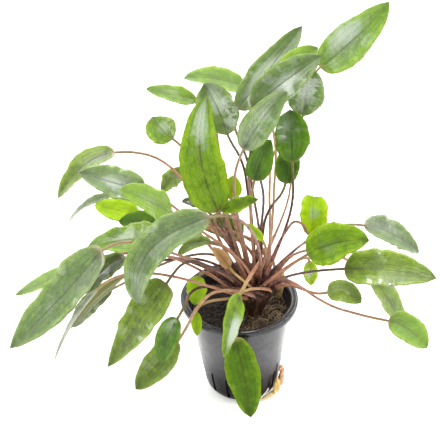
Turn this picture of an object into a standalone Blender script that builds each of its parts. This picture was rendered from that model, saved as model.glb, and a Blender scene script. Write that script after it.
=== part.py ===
"""Potted cryptocoryne: a rosette of about fifty leaves in a small black growing pot.

Blender 4.5, metres, +Z up. The origin is the centre of the pot's underside, and -Y is the front.
"""

import math
from typing import NamedTuple

import bmesh
import bpy
from mathutils import Vector, noise

MM = 0.001
GAP = 0.3 * MM

POT_HEIGHT = 54 * MM
RIM_RADIUS = 28.2 * MM
RIM_ASIDE = -2 * MM  # the rim's middle, seen from above the underside's middle
RIM_BAND = 2.4 * MM
RIM_STEP = 3 * MM
RIM_CHAMFER = 0.4 * MM
BASE_RADIUS = 17 * MM
BASE_ROUNDING = 7 * MM
POT_WALL = 1.1 * MM
POT_FLOOR = 1.6 * MM
POT_STEPS = 52
SLOTS = 14
FIRST_SLOT = math.radians(196)
SLOT_WIDTH = 1.5 * MM
SLOT_TOP = 17 * MM
SLOT_BOTTOM = 3.2 * MM
SLOT_DEPTH = 6.6 * MM

SOIL_TOP = 47 * MM
SOIL_RINGS = (0.12, 0.27, 0.42, 0.56, 0.71, 0.86, 1.0)
SOIL_STEPS = 28
SOIL_ROUGHNESS = 1.2 * MM
SOIL_LUMP = 3.8 * MM
SOIL_FLAT_MARGIN = 4 * MM

CROWN_FOOT = Vector((3, -1.5, 0)) * MM
CROWN_LEAN = Vector((2.0, 1.0, 0)) * MM
CROWN_TOP = 64 * MM
CROWN_FOOT_RADIUS = 4.6 * MM
CROWN_HEAD_RADIUS = 8.8 * MM
CROWN_DOME = 4.5 * MM
CROWN_FLARE = 1.6
CROWN_STEPS = 16

# The leaves are laid out as an eye in front sees them: across and up from this point.
LAYOUT_MIDDLE = Vector((-1.5, 0, 4)) * MM
EYE_DISTANCE = 700 * MM
EYE_TILT = math.radians(35.2)
EYE_ASIDE = -9.75 * MM
EYE_ABOVE = 77 * MM
ACROSS = Vector((1, 0, 0))
UPWARD = Vector((0, math.sin(EYE_TILT), math.cos(EYE_TILT)))
TOWARD = Vector((0, -math.cos(EYE_TILT), math.sin(EYE_TILT)))
EYE = ACROSS * EYE_ASIDE + UPWARD * EYE_ABOVE + TOWARD * EYE_DISTANCE

# Each ring of leaf stalks on the crown: how many, how far out, and their lean in degrees.
FOOT_RINGS = (
    (1, 0.0 * MM, 0),
    (6, 2.1 * MM, 8),
    (12, 4.2 * MM, 18),
    (16, 6.2 * MM, 32),
    (20, 8.1 * MM, 52),
)

# Old roots outside the pot: their route in mm, from the slot where they leave it, and their
# thickness along it, from there to the end.
ROOTS = (
    (
        "root_1",
        ((17.7, -8.4, 14.4), (18.8, -7.6, 17.2), (19.4, -7, 13), (18.9, -6.8, 8.5), (18.6, -6.6, 4.2)),
        (0.5, 0.7, 1.1, 1.6, 1.3),
    ),
    (
        "root_2",
        ((16.6, -10, 11.8), (16.9, -12, 10), (16.5, -12.2, 6.6), (16.2, -11.4, 4.2)),
        (0.5, 1.4, 1.9, 1.3),
    ),
    (
        "root_3",
        ((16.4, -9.6, 3.2), (14.9, -11.4, 2.8), (12.4, -13.2, 2.2), (9.4, -14.6, 1.2)),
        (0.9, 1.2, 1.1, 0.7),
    ),
)
# The sheath of a leaf that was cut off, standing in the peat.
STUB = ("old_stalk", ((17.3, 6, 48.6), (17.8, 6.6, 56), (19, 7.6, 63)), (1.3, 2.0, 1.0))
TUBE_RESOLUTION = 3  # Blender's bevel resolution: ten faces round
TUBE_STEPS = 3  # steps between two points of a route

STALK_RADIUS = 0.78 * MM
STALK_RINGS = 8
STALK_FOOT_PULL = 0.42
STALK_BLADE_PULL = 0.34
BLADE_STATIONS = (0.1, 0.28, 0.5, 0.72, 0.9)
BLADE_POINTEDNESS = 1.15
BLADE_THICKNESS = 0.9 * MM
BLADE_THINNING = 0.6  # share of the thickness lost from base to tip
ABOVE_MIDLINE = 0.2  # share of the thickness on the upper side
MIDRIB_HALF_WIDTH = 0.45 * MM
MIDRIB_SHARE = 0.4  # most of the blade's half width that the rib takes
PENTAGON = tuple(math.radians(angle) for angle in (162, 90, 18, -54, -126))


class Leaf(NamedTuple):
    """One leaf: where its blade begins and ends (across, up, back), and how it is held, in mm."""

    name: str
    base: tuple
    tip: tuple
    width: float
    face: tuple  # where the upper side looks: degrees right of the front, degrees above level
    bend: tuple = (0, 0, 3)  # how far the middle leaves the straight line from base to tip
    fold: float = 0.25
    widest: float = 0.4
    via: tuple = ()  # a point that the stalk passes, given like the base


LEAVES = (
    Leaf(
        "leaf_top_1", (40.3, 154, 48), (75, 187, 56), 18.5, (15, 45), (1, 0, -1), widest=0.36,
        via=(23.8, 86, 36),
    ),
    Leaf("leaf_top_2", (-1, 133, 36), (31.5, 175, 50), 14.5, (-15, 40), (1, 0, 1), via=(4.3, 106, 20)),
    Leaf("leaf_top_3", (6.5, 134, 19), (41, 160, 17), 17.5, (10, 50), (0, 0, 1), via=(12, 90, 12)),
    Leaf("leaf_top_4", (17.5, 140.5, 29), (39.5, 164, 33), 15.5, (0, 40), via=(18.2, 111, 34)),
    Leaf("leaf_top_5", (3, 144, 59), (-28, 148.5, 47), 13, (-20, 60), (0, 0, 2.4), via=(4.5, 102, 38)),
    Leaf("leaf_top_6", (-21.5, 137.8, 54), (-47, 143.3, 46), 9.8, (0, 60), (0, 0, 0), via=(-8, 100, 34)),
    Leaf("leaf_top_7", (-6, 120.5, 31), (-18, 146, 38), 20, (-25, 30), widest=0.5, via=(1.8, 105, 22)),
    Leaf("leaf_top_8", (-10.5, 82, 2), (-16.5, 140, 8), 20, (0, 25), (-5.5, 0, 0), widest=0.38),
    Leaf("leaf_left_1", (-33.3, 118.3, 31), (-43.6, 129.5, 33), 14.5, (-25, 40), (-1, 0, 0), widest=0.5),
    Leaf(
        "leaf_left_2", (-62.5, 111.5, 31), (-90.8, 88.5, 28), 13, (-50, 50), (-1, 0, 5.5),
        via=(-34, 103.8, 28),
    ),
    Leaf("leaf_left_3", (-46.5, 91.5, 15), (-80.5, 101.5, 13), 16.5, (-20, 60), (0, 0, 0)),
    Leaf("leaf_left_4", (-64, 90, 22), (-86, 75.5, 26), 7, (-90, 40), (-2, 0, 2.5)),
    Leaf("leaf_left_5", (-34, 81, -6), (-60, 93, -16), 15, (-10, 60), (0, 0, 1)),
    Leaf("leaf_left_6", (-50.5, 80, 38), (-72.5, 85.5, 48), 12.5, (-20, 60), (0, 0, 0)),
    Leaf("leaf_left_7", (-39.5, 76.5, 19), (-60.5, 77, 25), 11, (0, 60), (0, 0, 0.5)),
    Leaf("leaf_left_8", (-33.5, 68, 11), (-76, 64.5, 14), 15.5, (-20, 60), (0, 0, 2)),
    Leaf("leaf_left_9", (-15, 79, -22), (-50.5, 35.5, -36), 17.5, (-25, 45), (-11, 0, 5), widest=0.42),
    Leaf(
        "leaf_left_10", (-68.5, 62.5, -20), (-115, 13.4, -30), 20.5, (-30, 45), (0, 0, -1.5), widest=0.36,
        via=(-30, 60, -14),
    ),
    Leaf("leaf_left_11", (-77.5, 56.5, 0), (-112.5, 40, 22), 8, (-30, 50), (0, 0, 0)),
    Leaf("leaf_left_12", (-57, 59, -8), (-79, 40.5, -14), 11, (-30, 50)),
    Leaf("leaf_left_13", (-57.5, 50, 5), (-85, 23, 11), 9, (180, 40)),
    Leaf("leaf_left_14", (-64, 43, 18), (-84, 24, 24), 11, (-20, 50)),
    Leaf("leaf_left_15", (-71, 43, -31), (-93, 6, -39), 8, (-90, 35), (-1.5, 0, 1.5)),
    Leaf("leaf_left_16", (-14.5, 67, -3), (-31, 60, -4), 6, (0, 60)),
    Leaf("leaf_left_17", (-20, 85, 15), (-29, 87, 15), 5, (0, 60), (0, 0, 1)),
    Leaf("leaf_left_18", (-27, 101, 32), (-39, 91.5, 31), 9, (-40, 30)),
    Leaf(
        "leaf_low_1", (-36.5, 46, -30), (-66, 4, -38), 18, (-25, 45), (0, 0, 0), widest=0.27,
        via=(-25, 57, -22),
    ),
    Leaf("leaf_low_2", (-31, 28.5, -43), (-40, 6, -47), 11, (-10, 40), via=(-20, 44, -18)),
    Leaf("leaf_low_3", (-31, 17, -29), (-52, -7, -34), 14, (-15, 40), (0, 0, 0), via=(-14, 41, -21)),
    Leaf("leaf_low_4", (-20, 49.5, -8), (-22.5, 35.3, -12), 9.5, (-10, 40), (0, 0, 1)),
    Leaf("leaf_low_5", (-21.7, 31.5, -19), (-21.2, 19.8, -23), 5.2, (0, 20), (0, 0, 1), via=(-15, 37, -16)),
    Leaf("leaf_front_1", (0, 40, -27), (-8, 9, -59), 10, (60, 40), (0, 0, 4), via=(10.5, 57, -5)),
    Leaf("leaf_front_2", (-2, 19, -32), (5.7, -21, -39), 15.8, (0, 20), via=(-1, 40, -21)),
    Leaf(
        "leaf_right_1", (36, 70.5, 22), (37, 89.5, 36), 14, (8, 52), (0, 0, 3), 0.75, 0.5,
        via=(27.5, 77, 16),
    ),
    Leaf("leaf_right_2", (34, 60.5, -13), (65, 67.5, -19), 18.5, (15, 50)),
    Leaf("leaf_right_3", (62.5, 75, 36), (90, 61.5, 43), 15.5, (35, 60), via=(38, 70, 16)),
    Leaf("leaf_right_4", (52.5, 53.3, -16), (98.7, 48.5, -26), 18.5, (20, 55), (0, 0, 2), widest=0.36),
    Leaf("leaf_right_5", (44, 41.5, -20), (61, 36.3, -25), 11, (15, 55)),
    Leaf("leaf_right_6", (74.5, 27.3, -22), (94, 13.8, -28), 14, (20, 50), via=(48, 34, -18)),
    Leaf("leaf_right_7", (65.5, 49, 10), (83, 22, 8), 12.5, (40, 40), via=(33, 62.5, 2)),
    Leaf("leaf_right_8", (35, 57, 0), (36, 45, 0), 7, (0, 30), (0, 0, 0)),
    Leaf("leaf_middle_1", (2, 113, 6), (24, 142, 7), 14, (0, 40)),
    Leaf("leaf_middle_2", (31.8, 130, 30), (35.9, 154, 32), 16.8, (0, 40), widest=0.5, via=(17, 111, 23)),
    Leaf("leaf_middle_3", (26.4, 106.5, 17), (25.1, 133, 25), 16, (0, 40), widest=0.5, via=(25.5, 82, 14)),
    Leaf("leaf_middle_4", (23, 96, 17), (26, 114, 33), 11.5, (0, 40), via=(13.5, 80, 4)),
    Leaf("leaf_middle_5", (7.5, 97.5, 6), (16, 118, 9), 12, (0, 40)),
    Leaf("leaf_middle_6", (-4, 89, 16), (-2, 100, 18), 9, (0, 40)),
    Leaf("leaf_middle_7", (-9, 82.5, 0), (9.5, 88, -5), 7.5, (0, 60), (0, 0, 0.5)),
    Leaf("leaf_middle_8", (11.5, 67.5, -4), (3, 76, -5), 4, (0, 60), (0, 0, 1)),
    Leaf("leaf_middle_9", (1.5, 70, 35), (-21, 75, 31), 13, (0, 50)),
    Leaf("leaf_withered", (-5, 54, -12), (-14, 64, -14), 6, (0, 50), (0, 0, 1)),
)


def seen(across, up, back):
    """The point that the eye sees so far across and up from the layout's middle, and so far back."""
    on_plane = (ACROSS * across + UPWARD * up) * MM
    ray = on_plane - EYE
    return EYE + ray * ((back * MM - EYE.y) / ray.y) + LAYOUT_MIDDLE


def clear_scene():
    for old in list(bpy.data.objects):
        bpy.data.objects.remove(old, do_unlink=True)


def new_collection(name):
    collection = bpy.data.collections.new(name)
    bpy.context.scene.collection.children.link(collection)
    return collection


def material(name, color, roughness):
    made = bpy.data.materials.new(name)
    made.use_nodes = True
    shader = made.node_tree.nodes["Principled BSDF"]
    shader.inputs["Base Color"].default_value = (*color, 1)
    shader.inputs["Roughness"].default_value = roughness
    shader.inputs["Metallic"].default_value = 0
    return made


def loft(rings, tip=None):
    """A closed shape through rings of points, flat at its ends or drawn out to a tip."""
    shape = bmesh.new()
    rows = [[shape.verts.new(point) for point in ring] for ring in rings]
    shape.faces.new(rows[0])
    for row, following in zip(rows, rows[1:]):
        for i in range(len(row)):
            j = (i + 1) % len(row)
            shape.faces.new((row[i], row[j], following[j], following[i]))
    last = rows[-1]
    if tip is None:
        shape.faces.new(last)
        return shape
    end = shape.verts.new(tip)
    for i in range(len(last)):
        shape.faces.new((last[i], last[(i + 1) % len(last)], end))
    return shape


def mesh_object(name, collection, shape, surface):
    """Turns a finished bmesh into an object, shaded smooth."""
    bmesh.ops.recalc_face_normals(shape, faces=shape.faces)
    mesh = bpy.data.meshes.new(name)
    shape.to_mesh(mesh)
    shape.free()
    mesh.shade_smooth()
    made = bpy.data.objects.new(name, mesh)
    made.data.materials.append(surface)
    collection.objects.link(made)
    return made


def ring_around(middle, radius, steps):
    """Points on a level circle."""
    turns = (2 * math.pi * step / steps for step in range(steps))
    return [middle + Vector((math.cos(turn), math.sin(turn), 0)) * radius for turn in turns]


def wall_radius(height):
    """The pot's outer radius under its rim band and over its rounded bottom corner."""
    under_band = RIM_RADIUS - RIM_STEP
    return BASE_RADIUS + (under_band - BASE_RADIUS) * height / POT_HEIGHT


def pot_middle(height):
    """The pot's axis leans a little to the left as it rises."""
    return Vector((RIM_ASIDE * height / POT_HEIGHT, 0, height))


def rounded_corner(radius, depth, reach, angles):
    """Where a rounded bottom corner bends, as (radius, height): reach aside, and depth down."""
    bends = (math.radians(angle) for angle in angles)
    return [(radius + reach * math.cos(bend), BASE_ROUNDING - depth * math.sin(bend)) for bend in bends]


def make_pot(collection, cutters):
    flat = wall_radius(BASE_ROUNDING) - BASE_ROUNDING
    inner_rim = wall_radius(POT_HEIGHT) - POT_WALL
    band_foot = POT_HEIGHT - RIM_BAND
    inside = rounded_corner(flat, BASE_ROUNDING - POT_FLOOR, BASE_ROUNDING - POT_WALL, (90, 45, 0))
    outside = rounded_corner(flat, BASE_ROUNDING, BASE_ROUNDING, (0, 30, 60, 90))
    profile = [
        *inside,
        (inner_rim, band_foot),
        (inner_rim + RIM_CHAMFER, POT_HEIGHT),
        (RIM_RADIUS - RIM_CHAMFER, POT_HEIGHT),
        (RIM_RADIUS, POT_HEIGHT - RIM_CHAMFER),
        (RIM_RADIUS, band_foot),
        (wall_radius(band_foot), band_foot - RIM_CHAMFER),
        *outside,
    ]
    rings = [ring_around(pot_middle(height), radius, POT_STEPS) for radius, height in profile]
    black = material("black_plastic", (0.02, 0.02, 0.022), 0.3)
    pot = mesh_object("pot", collection, loft(rings), black)
    for number in range(SLOTS):
        around = FIRST_SLOT + number * 2 * math.pi / SLOTS
        shape = bmesh.new()
        bmesh.ops.create_cube(shape, size=1)
        slot = mesh_object(f"slot_{number + 1}", cutters, shape, black)
        slot.scale = (SLOT_DEPTH, SLOT_WIDTH, SLOT_TOP - SLOT_BOTTOM)
        height = (SLOT_TOP + SLOT_BOTTOM) / 2
        out = wall_radius(height) - POT_WALL / 2
        slot.location = pot_middle(height) + Vector((math.cos(around), math.sin(around), 0)) * out
        slot.rotation_euler = (0, 0, around)
        slot.hide_render = True
        slot.display_type = "WIRE"
        cut = pot.modifiers.new(slot.name, "BOOLEAN")
        cut.operation = "DIFFERENCE"
        cut.object = slot
    return pot


def soil_height(spot):
    """The peat is lumpy, but flat under the crown."""
    if (spot - CROWN_FOOT).length < CROWN_FOOT_RADIUS + SOIL_FLAT_MARGIN:
        return SOIL_TOP
    return SOIL_TOP + SOIL_ROUGHNESS * noise.noise(spot / SOIL_LUMP)


def make_soil(collection):
    """Peat that fills the pot up to a little under its rim."""
    clearance = POT_WALL + 2 * GAP
    top = pot_middle(SOIL_TOP)
    top.z = 0
    rings = []
    for share in SOIL_RINGS:
        flat = ring_around(top, (wall_radius(SOIL_TOP) - clearance) * share, SOIL_STEPS)
        rings.append([spot + Vector((0, 0, soil_height(spot))) for spot in flat])
    shoulder = wall_radius(BASE_ROUNDING)
    rings.append(ring_around(pot_middle(BASE_ROUNDING), shoulder - clearance, SOIL_STEPS))
    rings.append(ring_around(pot_middle(POT_FLOOR + GAP), shoulder - BASE_ROUNDING, SOIL_STEPS))
    peat = material("peat", (0.03, 0.022, 0.016), 0.95)
    return mesh_object("soil", collection, loft(rings), peat)


def crown_middle(height):
    """The crown's axis leans a little to the right as it rises."""
    share = (height - SOIL_TOP) / (CROWN_TOP - SOIL_TOP)
    return CROWN_FOOT + CROWN_LEAN * share + Vector((0, 0, height))


def dome_height(radius):
    """How high the crown's domed head stands at this distance from its axis."""
    return CROWN_TOP - CROWN_DOME * (radius / CROWN_HEAD_RADIUS) ** 2


def make_crown(collection):
    """The stub that all the leaf stalks grow from: a narrow foot, and a wider domed head."""
    foot = SOIL_TOP + GAP
    shoulder = dome_height(CROWN_HEAD_RADIUS)
    sections = []
    for share in (0, 0.2, 0.45, 0.7, 0.92):
        flare = (CROWN_HEAD_RADIUS - CROWN_FOOT_RADIUS) * share**CROWN_FLARE
        sections.append((CROWN_FOOT_RADIUS + flare, foot + (shoulder - foot) * share))
    for share in (1, 0.75, 0.4):
        radius = CROWN_HEAD_RADIUS * share
        sections.append((radius, dome_height(radius)))
    rings = [ring_around(crown_middle(height), radius, CROWN_STEPS) for radius, height in sections]
    return mesh_object("crown", collection, loft(rings), material("crown", (0.2, 0.11, 0.07), 0.6))


def make_tube(collection, name, route, radii, surface):
    """A root or stub: a smooth tube along its route, thick and thin as the radii say."""
    curve = bpy.data.curves.new(name, "CURVE")
    curve.dimensions = "3D"
    curve.bevel_depth = 1 * MM
    curve.bevel_resolution = TUBE_RESOLUTION
    curve.use_fill_caps = True
    points = [Vector(point) * MM for point in route]
    steps = TUBE_STEPS * (len(points) - 1)
    spline = curve.splines.new("POLY")
    spline.points.add(steps)
    for step in range(steps + 1):
        first = min(step // TUBE_STEPS, len(points) - 2)
        share = step / TUBE_STEPS - first
        before = points[max(first - 1, 0)]
        start, end = points[first], points[first + 1]
        after = points[min(first + 2, len(points) - 1)]
        leave = (end - before) / 6
        arrive = (after - start) / 6
        spot = on_curve([start, start + leave, end - arrive, end], share)
        spline.points[step].co = (*spot, 1)
        spline.points[step].radius = radii[first] * (1 - share) + radii[first + 1] * share
    made = bpy.data.objects.new(name, curve)
    made.data.materials.append(surface)
    collection.objects.link(made)
    return made


def tilt_from_upright(leaf):
    """How far the way from the crown to the leaf's bend or blade leans, which settles its ring."""
    way = seen(*(leaf.via or leaf.base)) - crown_middle(CROWN_TOP)
    return math.acos(way.z / way.length)


def heading(vector):
    return math.atan2(vector.y, vector.x)


def turn_between(first, second):
    """The smaller angle between two headings."""
    return abs((first - second + math.pi) % (2 * math.pi) - math.pi)


def feet_of(leaves):
    """Where each stalk starts: upright leaves in the middle, and low ones at the edge."""
    waiting = sorted(leaves, key=tilt_from_upright)
    feet = {}
    for count, radius, lean in FOOT_RINGS:
        ring = waiting[:count]
        waiting = waiting[count:]
        ring.sort(key=lambda leaf: heading(seen(*leaf.base) - crown_middle(CROWN_TOP)))
        wanted = [heading(seen(*leaf.base) - crown_middle(CROWN_TOP)) for leaf in ring]
        if not ring:
            continue
        start = min(
            (math.radians(degrees) for degrees in range(0, 360, 3)),
            key=lambda first: sum(
                turn_between(first + 2 * math.pi * i / len(ring), way) ** 2
                for i, way in enumerate(wanted)
            ),
        )
        for i, leaf in enumerate(ring):
            around = start + 2 * math.pi * i / len(ring)
            out = Vector((math.cos(around), math.sin(around), 0))
            height = dome_height(radius)
            lean_angle = math.radians(lean)
            grows = out * math.sin(lean_angle) + Vector((0, 0, math.cos(lean_angle)))
            lift = GAP + STALK_RADIUS * math.sin(lean_angle)
            feet[leaf.name] = (crown_middle(height) + out * radius + grows * lift, grows)
    return feet


def on_curve(points, share):
    """A point on the Bezier curve that these control points give."""
    while len(points) > 1:
        points = [a.lerp(b, share) for a, b in zip(points, points[1:])]
    return points[0]


def looking(face):
    """The direction that an upper side looks in."""
    aside, rise = (math.radians(angle) for angle in face)
    return Vector(
        (math.sin(aside) * math.cos(rise), -math.cos(aside) * math.cos(rise), math.sin(rise))
    )


def half_width(leaf, share):
    """Half the blade's width at this share of its length: a lance shape with a round base."""
    rise = leaf.widest
    fall = 1 - rise
    most = rise**rise * fall**fall
    swell = share**rise * (1 - share) ** fall / most
    return leaf.width * MM / 2 * swell**BLADE_POINTEDNESS


def stalk_points(leaf, foot, grows, base, blade_start):
    """The middle of the stalk, from the crown to the blade, as one smooth curve."""
    if not leaf.via:
        reach = (base - foot).length
        arch = [
            foot,
            foot + grows * reach * STALK_FOOT_PULL,
            base - blade_start * reach * STALK_BLADE_PULL,
            base,
        ]
        return [on_curve(arch, i / (STALK_RINGS - 1)) for i in range(STALK_RINGS)]
    via = seen(*leaf.via)
    along = (base - foot).normalized()
    near = (via - foot).length / 3
    far = (base - via).length / 3
    first = [foot, foot + grows * near, via - along * near, via]
    second = [via, via + along * far, base - blade_start * far, base]
    half = STALK_RINGS // 2
    points = [on_curve(first, i / half) for i in range(half)]
    rest = STALK_RINGS - half
    return points + [on_curve(second, i / (rest - 1)) for i in range(rest)]


def make_leaf(collection, leaf, foot, grows, surface):
    """One solid from the stalk's foot to the blade's tip, lofted through five-cornered rings."""
    base = seen(*leaf.base)
    tip = seen(*leaf.tip)
    middle = base.lerp(tip, 0.5) + Vector(leaf.bend) * 2 * MM
    midrib = [base, middle, tip]
    blade_start = (middle - base).normalized()
    centres = stalk_points(leaf, foot, grows, base, blade_start)
    ways = [grows]
    ways += [(b - a).normalized() for a, b in zip(centres, centres[2:])]
    ways.append(blade_start)
    face = looking(leaf.face)

    across = blade_start.cross(face).normalized()
    frames = [(across, across.cross(blade_start))]
    for way, following in zip(reversed(ways[:-1]), reversed(ways[1:])):
        turn = following.rotation_difference(way)
        side, up = frames[-1]
        frames.append((turn @ side, turn @ up))
    frames.reverse()

    rings = []
    for centre, (side, up) in zip(centres, frames):
        rings.append(
            [
                centre + (side * math.cos(angle) + up * math.sin(angle)) * STALK_RADIUS
                for angle in PENTAGON
            ]
        )
    for share in BLADE_STATIONS:
        centre = on_curve(midrib, share)
        way = (middle.lerp(tip, share) - base.lerp(middle, share)).normalized()
        side = way.cross(face).normalized()
        up = side.cross(way)
        half = half_width(leaf, share)
        lift = up * half * leaf.fold
        thickness = BLADE_THICKNESS * (1 - share * BLADE_THINNING)
        above = up * thickness * ABOVE_MIDLINE
        below = up * thickness * (1 - ABOVE_MIDLINE)
        rib = side * min(MIDRIB_HALF_WIDTH, half * MIDRIB_SHARE)
        rings.append(
            [
                centre - side * half + lift,
                centre + above,
                centre + side * half + lift,
                centre + rib - below,
                centre - rib - below,
            ]
        )
    return mesh_object(leaf.name, collection, loft(rings, tip), surface)


def main():
    clear_scene()
    plant = new_collection("potted_cryptocoryne")
    cutters = new_collection("cutters")
    make_pot(plant, cutters)
    make_soil(plant)
    make_crown(plant)
    green = material("leaf_green", (0.12, 0.28, 0.05), 0.35)
    feet = feet_of(LEAVES)
    for leaf in LEAVES:
        make_leaf(plant, leaf, *feet[leaf.name], green)
    tan = material("root_tan", (0.55, 0.33, 0.14), 0.6)
    for name, route, radii in ROOTS:
        make_tube(plant, name, route, radii, tan)
    make_tube(plant, *STUB, tan)


main()
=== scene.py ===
"""Looks of the potted cryptocoryne: glossy green leaves on brown stalks, in a black pot of peat."""

import random
from math import atan2, copysign, cos, degrees, exp, hypot, log, pi, radians, sin, sqrt
from typing import NamedTuple

import bmesh
import bpy
import numpy as np
from mathutils import Matrix, Vector, noise


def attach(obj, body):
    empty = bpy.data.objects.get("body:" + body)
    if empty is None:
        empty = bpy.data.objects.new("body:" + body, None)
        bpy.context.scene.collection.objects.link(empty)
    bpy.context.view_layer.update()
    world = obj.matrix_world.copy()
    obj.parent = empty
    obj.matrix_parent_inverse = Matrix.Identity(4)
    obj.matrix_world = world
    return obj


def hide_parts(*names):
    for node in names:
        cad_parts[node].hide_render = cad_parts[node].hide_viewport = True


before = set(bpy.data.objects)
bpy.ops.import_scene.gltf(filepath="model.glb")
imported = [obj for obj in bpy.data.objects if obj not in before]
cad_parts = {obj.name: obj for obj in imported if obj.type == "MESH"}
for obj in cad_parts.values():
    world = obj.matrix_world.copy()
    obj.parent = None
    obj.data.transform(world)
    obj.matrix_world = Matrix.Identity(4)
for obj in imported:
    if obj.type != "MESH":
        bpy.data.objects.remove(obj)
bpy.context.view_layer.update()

MM = 0.001


def linear(red, green, blue):
    """A colour given as 0 to 255 on a screen, as the linear values that shaders take."""
    channels = (value / 255 for value in (red, green, blue))
    return tuple(c / 12.92 if c <= 0.04045 else ((c + 0.055) / 1.055) ** 2.4 for c in channels) + (1,)


class Graph:
    """Builds one material, or the world: each call adds a node and links what it is given."""

    def __init__(self, name, world=False, **values):
        self.owner = (bpy.data.worlds if world else bpy.data.materials).new(name)
        self.owner.use_nodes = True
        self.tree = self.owner.node_tree
        self.shader = self.tree.nodes["Background" if world else "Principled BSDF"]
        self.set(**values)

    def feed(self, node, inputs):
        for key, value in inputs.items():
            socket = node.inputs[key]
            if isinstance(value, bpy.types.NodeSocket):
                self.tree.links.new(value, socket)
            else:
                socket.default_value = value

    def add(self, kind, inputs=None, output=0, **settings):
        node = self.tree.nodes.new("ShaderNode" + kind)
        for key, value in settings.items():
            setattr(node, key, value)
        self.feed(node, inputs or {})
        return node.outputs[output]

    def attribute(self, name):
        return self.add("Attribute", output="Fac", attribute_name=name)

    def math(self, operation, first, second=0.5):
        return self.add("Math", {0: first, 1: second}, operation=operation)

    def smooth(self, value, low, high, most=1.0):
        """0 at low and most at high, with a soft change between them; low may be above high."""
        inputs = {"Value": value, "From Min": low, "From Max": high, "To Max": most}
        return self.add("MapRange", inputs, interpolation_type="SMOOTHSTEP")

    def times(self, first, second):
        return self.math("MULTIPLY", first, second)

    def plus(self, first, second):
        return self.math("ADD", first, second)

    def between(self, value, low, high, top=1.0):
        """A value of 0 to top as a value of low to high."""
        return self.add("MapRange", {"Value": value, "From Max": top, "To Min": low, "To Max": high})

    def about_zero(self, value, size):
        """A value of 0 to 1, moved to lie about zero and made this big."""
        return self.times(self.math("SUBTRACT", value, 0.5), size)

    def mix(self, share, first, second):
        """A blend of two colours, each a node's output or 0 to 255 as on a screen."""
        first, second = (linear(*c) if isinstance(c, tuple) else c for c in (first, second))
        return self.add("Mix", {0: share, 6: first, 7: second}, output=2, data_type="RGBA")

    def place(self):
        return self.add("TexCoord", output="Object")

    def noise(self, lump, detail, warp=0.0, where=None):
        """Cloudy values about 0.5, with lumps of this size in mm."""
        inputs = {
            "Vector": where or self.place(),
            "Scale": 1 / (lump * MM),
            "Detail": detail,
            "Distortion": warp,
        }
        return self.add("TexNoise", inputs)

    def set(self, **inputs):
        """Sets or links inputs of the shader, and returns the material or world."""
        self.feed(self.shader, {key.replace("_", " "): value for key, value in inputs.items()})
        return self.owner

    def finish(self, colour, rough, relief, depth, **inputs):
        """The material with this colour and roughness, and a relief of this depth in mm."""
        bump = self.add("Bump", {"Height": relief, "Distance": depth * MM}, output="Normal")
        return self.set(Base_Color=colour, Roughness=rough, Normal=bump, **inputs)


def new_object(mesh, material, replaced=()):
    """Adds a finished mesh as a piece of the plant, in place of the solids that it stands for."""
    made = bpy.data.objects.new(mesh.name, mesh)
    bpy.context.scene.collection.objects.link(made)
    if material is not None:
        mesh.materials.append(material)
    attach(made, "root")
    if replaced:
        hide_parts(*replaced)


def mesh_of(name, points, faces):
    mesh = bpy.data.meshes.new(name)
    mesh.from_pydata([tuple(point) for point in points], [], faces)
    mesh.shade_smooth()
    mesh.update()
    return mesh


def tube(rows, columns, first=0, turned=False):
    """The faces of a tube whose corners follow each other row by row, from corner first on."""
    faces = []
    for row in range(rows - 1):
        for column in range(columns):
            a = first + row * columns + column
            b = first + row * columns + (column + 1) % columns
            faces.append((a, a + columns, b + columns, b) if turned else (a, b, b + columns, a + columns))
    return faces


def closed_tube(rows, columns):
    """The faces of a tube with both its ends closed."""
    last = (rows - 1) * columns
    return [tuple(range(columns))[::-1], *tube(rows, columns), tuple(range(last, last + columns))]


def round_spot(middle, reach, angle, height):
    """The spot at this angle and reach from an upright axis through middle."""
    return (middle[0] + reach * cos(angle), middle[1] + reach * sin(angle), height)


def give_attribute(mesh, name, values):
    attribute = mesh.attributes.new(name, "FLOAT", "POINT")
    attribute.data.foreach_set("value", np.asarray(values, np.float32))


def hermite(keys, values, where):
    """A smooth curve through spots or ways at rising keys, read at each of where."""
    slopes = np.gradient(values, keys, axis=0)
    first = np.clip(np.searchsorted(keys, where, side="right") - 1, 0, len(keys) - 2)
    span = (keys[first + 1] - keys[first])[:, None]
    t = (where - keys[first])[:, None] / span
    return (
        values[first] * (2 * t**3 - 3 * t**2 + 1)
        + slopes[first] * span * (t**3 - 2 * t**2 + t)
        + values[first + 1] * (3 * t**2 - 2 * t**3)
        + slopes[first + 1] * span * (t**3 - t**2)
    )


def unit(vectors):
    return vectors / np.linalg.norm(vectors, axis=-1, keepdims=True)


def soft_step(values):
    clipped = np.clip(values, 0, 1)
    return clipped**2 * (3 - 2 * clipped)


# How the solid of a leaf is made: rings of five corners from the stalk's foot, then its tip.
SIDES = 5
STALK_RINGS = 8  # with that of the foot
BLADE_SHARES = np.array((0.1, 0.28, 0.5, 0.72, 0.9))
POINTEDNESS = 1.15  # power in the law of the blade's width
SAME_PLACE = 1e-5


def welded(node):
    """A solid's corners, each once, and which of them each edge joins."""
    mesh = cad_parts[node].data
    index_of = {}
    spots = []
    own = []
    for vertex in mesh.vertices:
        key = tuple(round(c / SAME_PLACE) for c in vertex.co)
        if key not in index_of:
            index_of[key] = len(spots)
            spots.append(tuple(vertex.co))
        own.append(index_of[key])
    near = [set() for _ in spots]
    for edge in mesh.edges:
        a, b = (own[i] for i in edge.vertices)
        if a != b:
            near[a].add(b)
            near[b].add(a)
    return np.array(spots), near


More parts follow.
